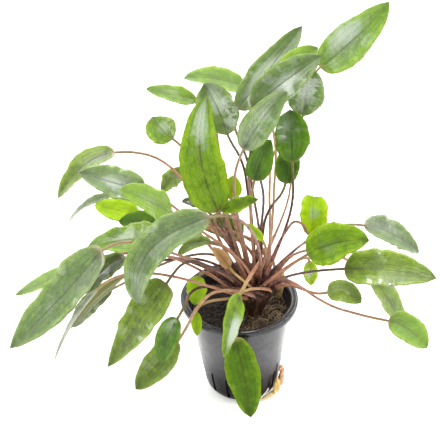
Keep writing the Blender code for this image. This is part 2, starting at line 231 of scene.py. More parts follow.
def rings_of(node):
    """The rings of a leaf's solid as lists of corners, from the tip down to the stalk's foot."""
    spots, near = welded(node)
    for start in range(len(spots)):
        found = {start}
        rings = [[start]]
        while len(near[start]) == SIDES and rings[-1]:
            rings.append(sorted({n for v in rings[-1] for n in near[v]} - found))
            found.update(rings[-1])
        sizes = [len(ring) for ring in rings[:-1]]
        if sizes == [1] + [SIDES] * (STALK_RINGS + len(BLADE_SHARES)):
            return spots, near, rings[:-1]
    raise ValueError(f"{node} has no rings")


def in_turn(ring, near):
    """A ring's corners in the order in which they follow each other round."""
    order = [ring[0]]
    while len(order) < len(ring):
        order.append(next(v for v in ring if v in near[order[-1]] and v not in order))
    return order


def read_leaf(node):
    """A leaf's foot, the corners of its stalk's rings and of its blade's rings, and its tip.

    Each ring's corners are in the order: left, top, right, lower right, lower left.
    """
    spots, near, rings = rings_of(node)
    tip = spots[rings[0][0]]
    blades = [in_turn(ring, near) for ring in rings[1 : 1 + len(BLADE_SHARES)]]
    stalks = [in_turn(ring, near) for ring in rings[1 + len(BLADE_SHARES) : -1]]
    foot = spots[rings[-1]].mean(0)

    def apart(a, b):
        return np.linalg.norm(spots[a] - spots[b])

    def farthest(ring):
        return max(((a, b) for a in ring for b in ring), key=lambda pair: apart(*pair))

    widest = max(range(len(blades)), key=lambda i: apart(*farthest(blades[i])))
    ring = blades[widest]
    left, right = farthest(ring)
    top = next(v for v in ring if v in near[left] and v in near[right])
    below = [v for v in ring if v not in (left, right, top)]
    along = tip - spots[stalks[0]].mean(0)
    up = spots[top] - spots[below].mean(0)
    if np.dot(spots[right] - spots[left], np.cross(along, up)) < 0:
        left, right = right, left
    labelled = [left, top, right]
    labelled += [v for v in below if v in near[right]]
    labelled += [v for v in below if v not in labelled]

    def matched(ring, known):
        turns = [ring[i:] + ring[:i] for i in range(SIDES)]
        turns += [turn[::-1] for turn in turns]
        return min(turns, key=lambda turn: np.sum((spots[turn] - spots[known]) ** 2))

    every = blades + stalks
    named = {widest: labelled}
    for i in range(widest + 1, len(every)):
        named[i] = matched(every[i], named[i - 1])
    for i in range(widest - 1, -1, -1):
        named[i] = matched(every[i], named[i + 1])
    corners = np.array([spots[named[i]] for i in range(len(every))])[::-1]
    stalk, blade = corners[: len(stalks)], corners[len(stalks) :]
    return foot, stalk, blade, tip


class Look(NamedTuple):
    """A kind of blade: its colours on a screen, and how wet, rough and shiny it is."""

    body: tuple
    blotch: tuple
    edge: tuple
    rib: tuple
    under: tuple
    wet: float = 0.05
    rough: float = 0.42
    shine: float = 0.22


LOOKS = {
    "pale": Look(
        (138, 172, 62), (112, 148, 50), (168, 198, 74), (94, 118, 46), (160, 182, 92), 0.23, 0.34, 0.4
    ),
    "grey": Look((116, 142, 80), (92, 117, 62), (150, 174, 90), (66, 78, 50), (146, 168, 90), 0.36, 0.3, 0.4),
    "fresh": Look((120, 156, 18), (90, 126, 12), (158, 188, 30), (72, 84, 24), (150, 176, 56)),
    "lime": Look((166, 200, 6), (140, 180, 6), (188, 214, 36), (126, 150, 18), (176, 202, 50), 0.03),
    "deep": Look((84, 126, 14), (62, 98, 12), (116, 152, 26), (48, 68, 20), (108, 138, 38), 0.12),
    "olive": Look(
        (126, 152, 44), (94, 120, 32), (154, 178, 58), (70, 80, 30), (142, 154, 58), 0.28, 0.34, 0.35
    ),
    "wet": Look((84, 100, 46), (58, 74, 32), (126, 146, 60), (54, 56, 38), (110, 126, 66), 0.3, 0.2, 0.3),
    "brown": Look((100, 102, 38), (84, 84, 34), (126, 134, 56), (104, 62, 38), (96, 112, 48)),
    "silver": Look((150, 160, 132), (120, 132, 100), (188, 194, 170), (104, 92, 66), (166, 168, 146), 0.23),
    "hanging": Look((78, 114, 6), (62, 94, 6), (132, 164, 18), (66, 76, 18), (140, 166, 46), 0.03, 0.5, 0.12),
    "withered": Look(
        (186, 148, 98), (156, 116, 70), (204, 172, 124), (126, 86, 52), (180, 146, 98), 0.0, 0.7
    ),
}
# The pale colour of the painted sheen, which stands in for reflected light on the blades.
PAINTED_SHEEN_COLOUR = (184, 196, 176)
STALK_TAN = (216, 182, 128)
STALK_LIGHT = (188, 132, 106)
STALK_DARK = (84, 52, 45)
STALK_GREEN = (138, 138, 62)
FOOT_BROWN = 0.68  # how dark a stalk is at its foot, on the scale of Dress.dark
FOOT_SHADE = 0.6  # how much darker still at the very foot
FOOT_SHADE_SHARE = 0.14  # share of the stalk that this reaches

NOWHERE = (0.5, 0, 0)  # a place without strength


class Dress(NamedTuple):
    """How one leaf is finished: its look, wave, stalk, and where it has a painted sheen or is wet.

    Such a place is a share along the blade and a share across it, and then its strength.
    """

    look: str
    wave: float
    dark: float  # of the stalk: 0 tan, 0.5 terracotta, 1 dark brown
    # where a painted sheen lies, a pale patch standing in for reflected light
    painted_sheen: tuple = (0.5, 0, 0.15)
    damp: tuple = NOWHERE
    thick: float = 1.0  # of the stalk and the midrib
    turn: float = 0.5  # share of the stalk over which its foot's brown turns into its own colour
    uneven: float = 1.0  # of the blade's edges


# Each leaf by its node's name after "leaf_".
DRESSES = {
    "top_1": Dress("pale", 0.07, 0.1, (0.42, -0.45, 1.1), (0.38, 0.1, 0.9), thick=0.85),
    "top_2": Dress("grey", 0.09, 0.9, (0.4, 0, 1.3), (0.2, 0.1, 0.7)),
    "top_3": Dress("grey", 0.08, 0.9, (0.5, 0.1, 0.8), (0.35, 0.7, 1.8)),
    "top_4": Dress("pale", 0.07, 0.3),
    "top_5": Dress("pale", 0.05, 0.5, (0.5, 0.4, 0.2)),
    "top_6": Dress("pale", 0.06, 0.5, (0.5, 0.3, 0.6)),
    "top_7": Dress("grey", 0.08, 1, (0.6, 0.1, 0.9), (0.35, 0.8, 1.1)),
    "top_8": Dress("fresh", 0.15, 0.9, (0.8, 0, 0.9), thick=1.2, uneven=1.6),
    "left_1": Dress("pale", 0.07, 0.6, (0.5, 0.2, 0.8), (0.2, 0.3, 0.8)),
    "left_2": Dress("olive", 0.06, 0.5, (0.35, -0.2, 0.5), (0.1, -0.5, 0.6)),
    "left_3": Dress("grey", 0.06, 0.5, (0.5, 0, 0.7), (0.3, 0, 0.5)),
    "left_4": Dress("grey", 0.05, 0.5, (0.8, 0, 0.5)),
    "left_5": Dress("pale", 0.09, 0.7, (0.5, -0.1, 0.45), (0.2, 0, 0.6), uneven=1.4),
    "left_6": Dress("lime", 0.06, 0.4, NOWHERE),
    "left_7": Dress("deep", 0.05, 0.5, NOWHERE),
    "left_8": Dress("pale", 0.12, 0.4, (0.25, 0, 0.5), (0.5, 0.2, 0.8), uneven=2.4),
    "left_9": Dress("grey", 0.1, 0.5, (0.75, 0, 0.35), thick=1.1),
    "left_10": Dress("grey", 0.1, 0.3, (0.6, 0.1, 0.4), (0.12, -0.5, 0.9), uneven=1.4),
    "left_11": Dress("pale", 0.06, 0.5),
    "left_12": Dress("wet", 0.12, 0.35, (0.4, 0, 0.1), (0.5, 0, 0.4), uneven=1.8),
    "left_13": Dress("brown", 0.06, 0.7, NOWHERE),
    "left_14": Dress("wet", 0.08, 0.6, (0.6, 0, 0.3)),
    "left_15": Dress("silver", 0.06, 0.4, (0.5, 0, 0.8)),
    "left_16": Dress("olive", 0.06, 0.5, NOWHERE),
    "left_17": Dress("wet", 0.06, 0.6, damp=(0.5, 0, 1.2)),
    "left_18": Dress("olive", 0.14, 0.6, (0.5, 0, 0.3), uneven=2),
    "low_1": Dress("olive", 0.1, 1, (0.45, 0.1, 0.2), (0.62, -0.35, 1.5)),
    "low_2": Dress("deep", 0.06, 0.8, (0.1, 0, 0.3), (0.1, 0.2, 0.7)),
    "low_3": Dress("olive", 0.06, 0.1, NOWHERE, thick=1.1),
    "low_4": Dress("lime", 0.06, 0.3, NOWHERE, uneven=2),
    "low_5": Dress("lime", 0.06, 0.2, NOWHERE),
    "front_1": Dress("fresh", 0.08, 0.15, (0.62, -0.55, 1.3), thick=1.3, turn=0.9, uneven=1.5),
    "front_2": Dress("hanging", 0.08, 0.15, NOWHERE),
    "right_1": Dress("lime", 0.08, 0.7, (0.55, 0.1, 0.55), uneven=1.5),
    "right_2": Dress("fresh", 0.1, 0.5, (0.35, 0.2, 0.3)),
    "right_3": Dress("grey", 0.08, 0.6, (0.5, -0.2, 0.45), (0.2, -0.6, 2), uneven=1.3),
    "right_4": Dress("olive", 0.1, 0.8, (0.3, -0.3, 0.1), (0.5, 0.85, 0.85)),
    "right_5": Dress("olive", 0.06, 0.5, (0.4, 0, 0.1)),
    "right_6": Dress("pale", 0.06, 0.4, (0.5, 0, 0.2)),
    "right_7": Dress("olive", 0.06, 0.5, (0.5, 0, 0.1)),
    "right_8": Dress("lime", 0.06, 0.5, (0.5, 0.3, 0.25), (0.5, 0.2, 0.9)),
    "middle_1": Dress("grey", 0.06, 0.6, (0.5, 0, 0.6)),
    "middle_2": Dress("grey", 0.12, 0.3, (0.6, 0, 0.5), (0.66, 0, 2.2)),
    "middle_3": Dress("deep", 0.12, 0.95, (0.7, -0.4, 0.5), (0.72, -0.3, 2.2), uneven=1.4),
    "middle_4": Dress("deep", 0.08, 0.8),
    "middle_5": Dress("deep", 0.06, 0.5),
    "middle_6": Dress("lime", 0.06, 0.5, NOWHERE),
    "middle_7": Dress("fresh", 0.16, 0.5, uneven=2.4),
    "middle_8": Dress("lime", 0.05, 0.3, NOWHERE),
    "middle_9": Dress("deep", 0.06, 0.6),
    "withered": Dress("withered", 0.12, 0.3, NOWHERE, uneven=2),
}

SECTION = 16  # steps across the upper side, and as many across the underside
ROUND = 2 * SECTION
STALK_STATIONS = np.linspace(0, 1, 24)[:-1]  # shares of the stalk
EVEN_STATIONS = np.linspace(0, 1, 84)[:-1]
BLADE_STATIONS = 0.5 * EVEN_STATIONS + 0.25 * (1 - np.cos(pi * EVEN_STATIONS))  # closer at the ends
STALK_RADIUS = 0.64 * MM
FOOT_IN_CROWN = 1.2 * MM
SHEATH_SHARE = 0.32  # share of the stalk that its sheath widens
SHEATH_POWER = 1.5
SHEATH_SPREAD = 1.5
SHEATH_FLATNESS = 0.15
BLADE_THICKNESS = 0.4 * MM
TIP_THINNING = 0.4  # share of its thickness that the blade loses up to its tip
RIB_HEIGHT = 0.7 * MM
RIB_WIDTH = 0.7 * MM
RIB_FADE = 1.3  # power by which the midrib grows lower towards the tip
RIB_SUNK = 0.25  # how deep the midrib lies in the upper side, as a share of its height below
TOP_OVER_MIDDLE = 0.15 * MM
CUP_POWER = 1.5
MIDRIB_SPACING = 1.2  # power that sets the corners closer near the midrib
OPENING = 0.1  # share of the blade in which the round stalk turns into it
STRAIGHT_TIP = 0.93  # share of the blade from which its edges run straight to the tip
# The size of a patch of painted sheen.
PAINTED_SHEEN_SIZE = (0.26, 0.6)  # along the blade and across it, in shares
DAMP_SIZE = (0.2, 0.5)
# Waves: how many turns they may take along the blade, and their size.
BROAD_UNEVEN = (((0.8, 1.6), 0.035), ((2, 3.5), 0.0175))
FINE_UNEVEN = (((5, 8), 0.012), ((9, 14), 0.006))
RIPPLES = (((1.4, 3), 1.0), ((3, 5.5), 0.6), ((6, 9), 0.25))
SWAY = (((0.7, 1.3), 0.35),)
MARKS = ("along", "across", "off", "upper", "painted_sheen", "damp", "mood", "dark")


def half_widths(blade, shares):
    """Half the blade's width at these shares of its length, by the law that its solid follows."""
    halves = np.linalg.norm(blade[:, 2] - blade[:, 0], axis=1) / 2
    ends = BLADE_SHARES[-1] / BLADE_SHARES[0]
    rise = (1 - log(halves[0] / halves[-1]) / (POINTEDNESS * log(ends))) / 2
    fall = 1 - rise
    middle = len(BLADE_SHARES) // 2

    def swell(share):
        return (share**rise * (1 - share) ** fall) ** POINTEDNESS

    scale = halves[middle] / swell(BLADE_SHARES[middle])
    straight = scale * swell(STRAIGHT_TIP) * (1 - shares) / (1 - STRAIGHT_TIP)
    return np.where(shares > STRAIGHT_TIP, straight, scale * swell(shares))


def waves_of(rng, sizes):
    """A few sine waves with random starts: how many turns each takes along the blade, and its size."""
    return [(rng.uniform(*turns), rng.uniform(0, 2 * pi), size) for turns, size in sizes]


def wave_height(waves, share):
    return sum(size * sin(2 * pi * turns * share + start) for turns, start, size in waves)


def near_place(place, size, share, side):
    """How strongly a spot of the blade has the painted sheen or is damp, by its nearness to that place."""
    far = ((share - place[0]) / size[0]) ** 2 + ((side - place[1]) / size[1]) ** 2
    return place[2] * exp(-far)


def leaf_frame(foot, stalk, blade, tip):
    """At each station: the leaf's middle, and its ways to the right and up. Also how deep it is folded."""
    rings = np.concatenate([stalk[:1], stalk, blade, blade[-1:]])
    tops = unit(blade[:, 1] - blade[:, 3:].mean(1))
    middles = blade[:, 1] - tops * TOP_OVER_MIDDLE
    path = np.concatenate([[foot], stalk.mean(1), middles, [tip]])
    keys = np.concatenate([[0], np.cumsum(np.linalg.norm(np.diff(path, axis=0), axis=1))])
    blade_key = keys[STALK_RINGS - 1]
    where = np.concatenate([STALK_STATIONS * blade_key, blade_key + BLADE_STATIONS * (keys[-1] - blade_key)])
    points = hermite(keys, path, where)
    ways = unit(np.gradient(points, where, axis=0))
    sides = hermite(keys, unit(rings[:, 2] - rings[:, 0]), where)
    sides = unit(sides - ways * np.sum(sides * ways, axis=1, keepdims=True))
    points[0] -= ways[0] * FOOT_IN_CROWN

    lifts = np.sum((blade[:, (0, 2)].mean(1) - blade[:, 1]) * tops, axis=1)
    halves = np.linalg.norm(blade[:, 2] - blade[:, 0], axis=1) / 2
    return points, sides, np.cross(sides, ways), np.mean(lifts[1:4] / halves[1:4])


def make_leaf(node, dress, material):
    """The fine leaf over one solid: a round stalk with a sheath at its foot, and a thin wavy blade.

    Returns where its stalk leaves the crown.
    """
    rng = random.Random(node)
    foot, stalk, blade, tip = read_leaf(node)
    points, sides, ups, fold = leaf_frame(foot, stalk, blade, tip)
    radius = STALK_RADIUS * dress.thick
    law = half_widths(blade, np.clip(BLADE_STATIONS, 1e-6, 1))
    half = np.hypot(law, radius * (1 - BLADE_STATIONS) ** 2)
    opening = soft_step(BLADE_STATIONS / OPENING)
    broad = [waves_of(rng, BROAD_UNEVEN) for _ in range(2)]
    fine = [waves_of(rng, FINE_UNEVEN) for _ in range(2)]
    ripples = [waves_of(rng, RIPPLES) for _ in range(2)]
    sway = waves_of(rng, SWAY)
    mood = rng.random()

    corners, marks = [], []
    for i, share in enumerate(STALK_STATIONS):
        sheath = max(0, 1 - share / SHEATH_SHARE) ** SHEATH_POWER
        wide = radius * (1 + SHEATH_SPREAD * sheath)
        high = radius * (1 - SHEATH_FLATNESS * sheath)
        dark = FOOT_BROWN + (dress.dark - FOOT_BROWN) * float(soft_step(share / dress.turn))
        dark += FOOT_SHADE * max(0, 1 - share / FOOT_SHADE_SHARE)
        for j in range(ROUND):
            angle = pi * (1 - j / SECTION)
            corners.append(points[i] + sides[i] * wide * cos(angle) + ups[i] * high * sin(angle))
            marks.append((share - 1, cos(angle), 0, 0.5 + 0.5 * sin(angle), 0, 0, mood, dark))
    for k, share in enumerate(BLADE_STATIONS):
        i = len(STALK_STATIONS) + k
        thin = BLADE_THICKNESS * (1 - TIP_THINNING * share)
        rib = RIB_HEIGHT * dress.thick * (1 - share) ** RIB_FADE
        fade = sin(pi * min(share * 1.1, 1)) ** 0.5
        edges = [1 + wave_height(broad[n] + fine[n], share) * fade * dress.uneven for n in range(2)]
        swell = [wave_height(ripples[n], share) * dress.wave * half[k] * fade for n in range(2)]
        swayed = wave_height(sway, share) * dress.wave * half[k] * fade
        for j in range(ROUND):
            is_upper = j <= SECTION
            step = j / SECTION * 2 - 1 if is_upper else 3 - j / SECTION * 2
            round_step = -cos(pi * j / SECTION)
            flat_step = copysign(abs(step) ** MIDRIB_SPACING, step)
            v = round_step * (1 - opening[k]) + flat_step * opening[k]  # -1 left edge, 1 right edge
            right = int(v > 0)
            bend = swell[right] * v * v + swayed * sin(pi * v)
            cup = fold * half[k] * abs(v) ** CUP_POWER * opening[k]
            round_half = radius * sqrt(max(0, 1 - v * v))
            sheet_half = thin / 2 * sqrt(max(0, 1 - v**4))
            ridge = rib * exp(-((v * half[k] / RIB_WIDTH) ** 2)) * sqrt(max(0, 1 - v * v))
            sheet_half += -RIB_SUNK * ridge if is_upper else ridge
            lift = (round_half * (1 - opening[k]) + sheet_half * opening[k]) * (1 if is_upper else -1)
            corners.append(points[i] + sides[i] * (half[k] * edges[right]) * v + ups[i] * (cup + bend + lift))
            upper = 0.5 if j in (0, SECTION) else float(is_upper)
            painted_sheen = near_place(dress.painted_sheen, PAINTED_SHEEN_SIZE, share, v)
            damp = near_place(dress.damp, DAMP_SIZE, share, v)
            marks.append((share, v, abs(v) * half[k] / MM, upper, painted_sheen, damp, mood, dress.dark))
    end = len(corners)
    corners.append(tip)
    marks.append((1, 0, 0, 0.5, 0, 0, mood, dress.dark))
    faces = [tuple(range(ROUND))] + tube(end // ROUND, ROUND, turned=True)
    faces += [(end - ROUND + j, end, end - ROUND + (j + 1) % ROUND) for j in range(ROUND)]
    mesh = mesh_of(node + "_leaf", corners, faces)
    for name, values in zip(MARKS, np.transpose(marks)):
        give_attribute(mesh, name, values)
    new_object(mesh, material, [node])
    return Vector(foot)


def leaf_material(name, look):
    """Blade and stalk in one: paler margin, dark midrib, arched veins, blotches, painted shade by the midrib
    and a painted pale sheen.
    """
    g = Graph(
        "leaf_" + name,
        Coat_Roughness=0.06,
        Coat_IOR=2.0,
        Subsurface_Weight=0.2,
        Subsurface_Radius=(0.5, 0.8, 0.1),
        Subsurface_Scale=0.8 * MM,
        Specular_IOR_Level=look.shine,
    )
    along = g.attribute("along")
    outward = g.math("ABSOLUTE", g.attribute("across"))
    off = g.attribute("off")
    mood = g.attribute("mood")
    cloud = g.noise(8, 3, 0.6)
    patch = g.noise(4, 3, 0.5)
    mottle = g.noise(2.2, 3, 1.0)
    grain = g.noise(0.9, 2)

    long_veins = g.math("PINGPONG", g.times(outward, 3.4), 0.5)
    bend = g.plus(g.times(outward, -7), g.times(grain, 1.4))
    cross_veins = g.math("PINGPONG", g.plus(g.times(along, 24), bend), 0.5)
    fine_vein = g.smooth(cross_veins, 0.14, 0.0, 0.7)
    vein = g.math("MAXIMUM", g.smooth(long_veins, 0.09, 0.0), fine_vein)
    fade = g.smooth(along, 1.1, 0.3)
    rib = g.times(g.smooth(off, 0.7, 0.1), fade)
    # Painted shade: patchy darkening towards the midrib's colour within a few mm of the midrib, where the
    # blade folds.
    shade = g.times(g.smooth(off, 3.4, 0.3), g.smooth(patch, 0.3, 0.65))

    tint = g.plus(g.times(mood, 0.3), g.plus(cloud, g.times(patch, 0.4)))
    body = g.mix(g.smooth(tint, 0.6, 1.15), look.body, look.blotch)
    spots = g.smooth(mottle, 0.53, 0.68, 0.28)
    body = g.mix(spots, body, look.rib)
    light_spots = g.smooth(mottle, 0.46, 0.3, 0.28)
    body = g.mix(light_spots, body, look.edge)
    body = g.mix(g.times(g.times(vein, patch), 0.45), body, look.rib)
    body = g.mix(g.times(shade, 0.4), body, look.rib)
    outer = g.plus(g.times(outward, 0.8), g.times(patch, 0.7))
    yellow = g.smooth(outer, 0.8, 1.25, 0.8)
    body = g.mix(yellow, body, look.edge)
    # Painted sheen: ragged pale patches, kept off the veins, that stand in for reflections of the soft
    # lights.
    ragged = g.plus(g.attribute("painted_sheen"), g.about_zero(patch, 1.2))
    painted_sheen_mask = g.times(g.smooth(ragged, 0.15, 0.7), g.math("MINIMUM", g.attribute("painted_sheen"), 1.0))
    painted_sheen_mask = g.times(painted_sheen_mask, g.smooth(vein, 2.2, 0.0))
    body = g.mix(painted_sheen_mask, body, PAINTED_SHEEN_COLOUR)
    broken = g.times(rib, g.smooth(cloud, 0.3, 0.6))
    body = g.mix(g.times(broken, 0.7), body, look.rib)
    under = g.mix(g.times(vein, 0.35), look.under, look.edge)
    under = g.mix(g.times(rib, 0.6), under, STALK_LIGHT)
    blade = g.mix(g.smooth(g.attribute("upper"), 0.3, 0.7), under, body)

    streak = g.noise(2.2, 2)
    uneven = g.plus(g.about_zero(streak, 0.9), g.times(mood, 0.4))
    depth = g.plus(g.math("SUBTRACT", g.attribute("dark"), 0.2), uneven)
    stalk = g.mix(g.smooth(depth, 0.0, 0.5), STALK_TAN, STALK_LIGHT)
    stalk = g.mix(g.smooth(depth, 0.5, 1.0), stalk, STALK_DARK)
    stalk = g.mix(g.smooth(along, -0.3, 0.0, 0.5), stalk, STALK_GREEN)
    colour = g.mix(g.smooth(along, -0.04, 0.07), stalk, blade)

    rough = g.between(cloud, look.rough - 0.1, look.rough + 0.14)
    quilt = g.math("SUBTRACT", g.times(cloud, 0.8), g.times(vein, 0.5))
    height = g.plus(quilt, g.times(grain, 0.25))
    film = g.noise(2.2, 2, 1.5)
    wet_marks = g.times(g.smooth(film, 0.42, 0.62), g.smooth(g.attribute("damp"), 0.2, 0.8))
    height = g.plus(height, g.times(wet_marks, 1.5))
    coat = g.plus(look.wet, g.attribute("damp"))
    return g.finish(colour, rough, height, 0.4, Coat_Weight=g.smooth(coat, 0, 1))


def make_leaves():
    """Every leaf. Returns where each stalk leaves the crown."""
    materials = {name: leaf_material(name, look) for name, look in LOOKS.items()}
    return [make_leaf("leaf_" + name, dress, materials[dress.look]) for name, dress in DRESSES.items()]


# The pot's sizes are those of its solid.
POT_HEIGHT = 54 * MM
RIM_RADIUS = 28.2 * MM
RIM_ASIDE = -2 * MM
WALL_TOP_RADIUS = 25.2 * MM
BASE_RADIUS = 17 * MM
BASE_ROUNDING = 7 * MM
POT_WALL = 1.1 * MM
POT_FLOOR = 1.6 * MM
SLOTS = 14
FIRST_SLOT = 196  # degrees
COLUMNS_PER_SLOT = 24
SLOT_COLUMNS = 2  # columns on each side of a slot's middle
SLOT_HALF_WIDTH = 0.75 * MM
# Heights in mm of the wall's rows of corners, first those along a slot.
SLOT_ROWS = (3.3, 4.0, 4.8, 5.6, 6.6, 8.2, 10, 12, 13.8, 15.6, 16.9)
UPPER_ROWS = (19.5, 23, 27, 31, 35, 39, 43, 46, 49)
POT_COLUMNS = SLOTS * COLUMNS_PER_SLOT
SHARP_ANGLE = radians(40)
RIM_FOOT = POT_HEIGHT - 2.9 * MM
# The rim's section: mm inward from its outside, and mm below its top.
RIM_STEPS = (
    (0.6, 2.5), (0.15, 2.35), (0, 2.0), (0, 0.4), (0.12, 0.12), (0.4, 0),
    (1.1, 0), (1.5, 0.4), (2.0, 0.5), (2.4, 0.2), (3.1, 0.15), (3.6, 0.5),
)


def wall_radius(height):
    """The radius of the pot's wall outside, leaving out its rounded bottom corner."""
    return BASE_RADIUS + (WALL_TOP_RADIUS - BASE_RADIUS) * height / POT_HEIGHT


def corner_radius(height, reach, depth):
    """A wall's radius at this height, with its bottom corner rounded: reach aside, depth down."""
    if height >= BASE_ROUNDING:
        return wall_radius(height) - BASE_ROUNDING + reach
    share = min(1, (BASE_ROUNDING - height) / depth)
    return wall_radius(BASE_ROUNDING) - BASE_ROUNDING + reach * sqrt(1 - share * share)


def outer_radius(height):
    return corner_radius(height, BASE_ROUNDING, BASE_ROUNDING)


def inner_radius(height):
    return corner_radius(height, BASE_ROUNDING - POT_WALL, BASE_ROUNDING - POT_FLOOR)


def pot_aside(height):
    """The pot's axis leans a little to the left as it rises."""
    return RIM_ASIDE * height / POT_HEIGHT


def make_pot():
    """The moulded pot: one wall grid outside and one inside, joined round each slot."""
    slot_heights = [height * MM for height in SLOT_ROWS]
    wall_heights = slot_heights + [height * MM for height in UPPER_ROWS]
    foot = outer_radius(0)
    outer = [(0, 0.3 * MM), (6 * MM, 0.25 * MM), (foot - 1.6 * MM, 0.2 * MM), (foot - 1 * MM, 0), (foot, 0)]
    outer += [(outer_radius(h * MM), h * MM) for h in (0.12, 0.4, 0.9, 1.5, 2.2)]
    slot_first = len(outer)
    outer += [(outer_radius(height), height) for height in wall_heights]
    rim = [(RIM_RADIUS - inward * MM, POT_HEIGHT - down * MM) for inward, down in RIM_STEPS]
    rim = [(wall_radius(RIM_FOOT), RIM_FOOT), *rim, (wall_radius(RIM_FOOT) - POT_WALL, RIM_FOOT)]
    inner = [(inner_radius(height), height) for height in reversed(wall_heights)]
    inner += [(inner_radius(h * MM), h * MM) for h in (2.3, 1.9, 1.68, 1.6)] + [(6 * MM, POT_FLOOR)]
    profile = outer + rim + inner
    inner_first = len(outer) + len(rim)
    step = 360 / POT_COLUMNS

    points = [(0, 0, outer[0][1])]
    for row, (radius, height) in enumerate(profile[1:], 1):
        in_wall = slot_first <= row < len(outer) or inner_first <= row < inner_first + len(wall_heights)
        for column in range(POT_COLUMNS):
            z = height
            turn = column * step
            aside = (column + COLUMNS_PER_SLOT // 2) % COLUMNS_PER_SLOT - COLUMNS_PER_SLOT // 2
            if in_wall and height < UPPER_ROWS[1] * MM:
                wanted = degrees(SLOT_HALF_WIDTH / radius) / (SLOT_COLUMNS * step)
                turn += aside * step * (wanted - 1) * (1 - soft_step((abs(aside) - SLOT_COLUMNS) / 6))
            if in_wall and abs(aside) <= SLOT_COLUMNS and height in (slot_heights[0], slot_heights[-1]):
                drawn = SLOT_HALF_WIDTH * (1 - sqrt(1 - (aside / SLOT_COLUMNS) ** 2))
                z += drawn if height == slot_heights[0] else -drawn
            points.append(round_spot((pot_aside(z), 0), radius, radians(FIRST_SLOT + turn), z))

    def corner(row, column):
        return 0 if row == 0 else 1 + (row - 1) * POT_COLUMNS + column % POT_COLUMNS

    middles = [number * COLUMNS_PER_SLOT for number in range(SLOTS)]
    across = range(-SLOT_COLUMNS, SLOT_COLUMNS)
    open_columns = {(middle + k) % POT_COLUMNS for middle in middles for k in across}
    rows_out = range(slot_first, slot_first + len(slot_heights) - 1)
    inner_row = {row: inner_first + len(outer) - 1 - row for row in range(slot_first, len(outer))}
    rows_in = {inner_row[row + 1] for row in rows_out}
    faces = []
    for row in range(len(profile) - 1):
        for column in range(POT_COLUMNS):
            if (row in rows_out or row in rows_in) and column in open_columns:
                continue
            ring = [(row, column), (row, column + 1), (row + 1, column + 1), (row + 1, column)]
            faces.append(tuple(dict.fromkeys(corner(*place) for place in ring)))
    centre = len(points)
    points.append((0, 0, POT_FLOOR))
    last = len(profile) - 1
    faces += [(corner(last, column), corner(last, column + 1), centre) for column in range(POT_COLUMNS)]
    for middle in middles:
        left, right = middle - SLOT_COLUMNS, middle + SLOT_COLUMNS
        low, high = slot_first, slot_first + len(slot_heights) - 1
        loop = [(low, c) for c in range(left, right)] + [(r, right) for r in range(low, high)]
        loop += [(high, c) for c in range(right, left, -1)] + [(r, left) for r in range(high, low, -1)]
        for here, there in zip(loop, loop[1:] + loop[:1]):
            inside = [(inner_row[row], column) for row, column in (here, there)]
            faces.append(tuple(corner(*place) for place in (there, here, *inside)))
    mesh = mesh_of("moulded_pot", points, faces)
    mesh.set_sharp_from_angle(angle=SHARP_ANGLE)
    mesh.materials.append(pot_material("pot_plastic", (58, 54, 61), (38, 36, 41), 0.06))
    # The rim is a darker copy of the same plastic, without sheen: its darker colour is painted shade.
    mesh.materials.append(pot_material("pot_rim", (26, 24, 27), (14, 13, 15), 0.0))
    for face in mesh.polygons:
        if all(mesh.vertices[i].co.z > POT_HEIGHT - 3 * MM for i in face.vertices):
            face.material_index = 1
    new_object(mesh, None, ["pot"])


def pot_material(name, light, dark, sheen):
    """Thin black plastic: a soft gloss, faint upright marks of the mould, dust and scuffs, and painted shade
    towards the bottom.
    """
    g = Graph(
        name,
        Specular_IOR_Level=0.1,
        Coat_Roughness=0.12,
        Sheen_Weight=sheen,
        Sheen_Roughness=0.35,
        Sheen_Tint=linear(226, 216, 232),
    )
    place = g.place()
    stretched = g.add("Mapping", {"Vector": place, "Scale": (1, 1, 0.12)})
    upright = g.noise(2.2, 3, 0.2, stretched)
    scuff = g.noise(7, 4, 1.2)
    dust = g.noise(0.9, 2)
    height = g.add("SeparateXYZ", {"Vector": place}, output=2)
    low = g.smooth(height, 34 * MM, 10 * MM)
    plain = g.mix(g.smooth(scuff, 0.35, 0.7), dark, light)
    # Painted shade: the colour darkens to near black towards the bottom.
    shaded = g.mix(g.times(low, 0.9), plain, (12, 10, 11))
    specks = g.smooth(dust, 0.62, 0.72, 0.35)
    colour = g.mix(specks, shaded, (110, 102, 96))
    worn = g.plus(scuff, g.times(upright, 0.4))
    rough = g.between(worn, 0.14, 0.48, 1.4)
    relief = g.plus(upright, g.times(dust, 0.25))
    gloss = g.between(low, 0.8, 0.0)
    return g.finish(colour, rough, relief, 0.12, Coat_Weight=gloss)


SOIL_TOP = 47 * MM
SOIL_RADIUS = 22.7 * MM
SOIL_MIDDLE = (pot_aside(SOIL_TOP), 0)
SOIL_RINGS = 70
SOIL_COLUMNS = 220
CROWN_PLACE = Vector((3 * MM, -1.5 * MM))
PEAT_LUMPS = ((0.9, 4.2), (0.55, 1.7), (0.25, 0.7))  # height and size in mm
HEAP_HEIGHT = 0.8  # mm
HEAP_RADIUS = 7 * MM
SOIL_SIDE_ROWS = (36, 24, 16, 13, 10, 8, 6, 4.5, 3.2, 2.4)  # heights in mm
BARE_RADIUS = 5.5 * MM  # round the crown
CRUMBS = 900
CRUMB_SIZES = (0.2, 0.75)  # mm, as the lengths below
FIBRES = 700
LIGHT_FIBRES = 400
FIBRE_LENGTHS = (1.5, 6)
CURLS = 90
CURL_LENGTHS = (4, 12)
FRONT_GRAIN = Vector((1.8, -19.7, 48.2)) * MM
LOOSE_SEED = 7
CROWN_SEED = 11
SHEATH_SEED = 3
SHEATH_FIBRE_SEED = 5


def peat_height(x, y):
    """The peat's lumpy top, a little heaped round the crown."""
    spot = Vector((x, y, 0)) / MM
    lumps = sum(height * noise.noise(spot / size) for height, size in PEAT_LUMPS)
    near = hypot(x - CROWN_PLACE.x, y - CROWN_PLACE.y)
    heap = HEAP_HEIGHT * exp(-((near / HEAP_RADIUS) ** 2))
    return SOIL_TOP + (lumps + heap) * MM


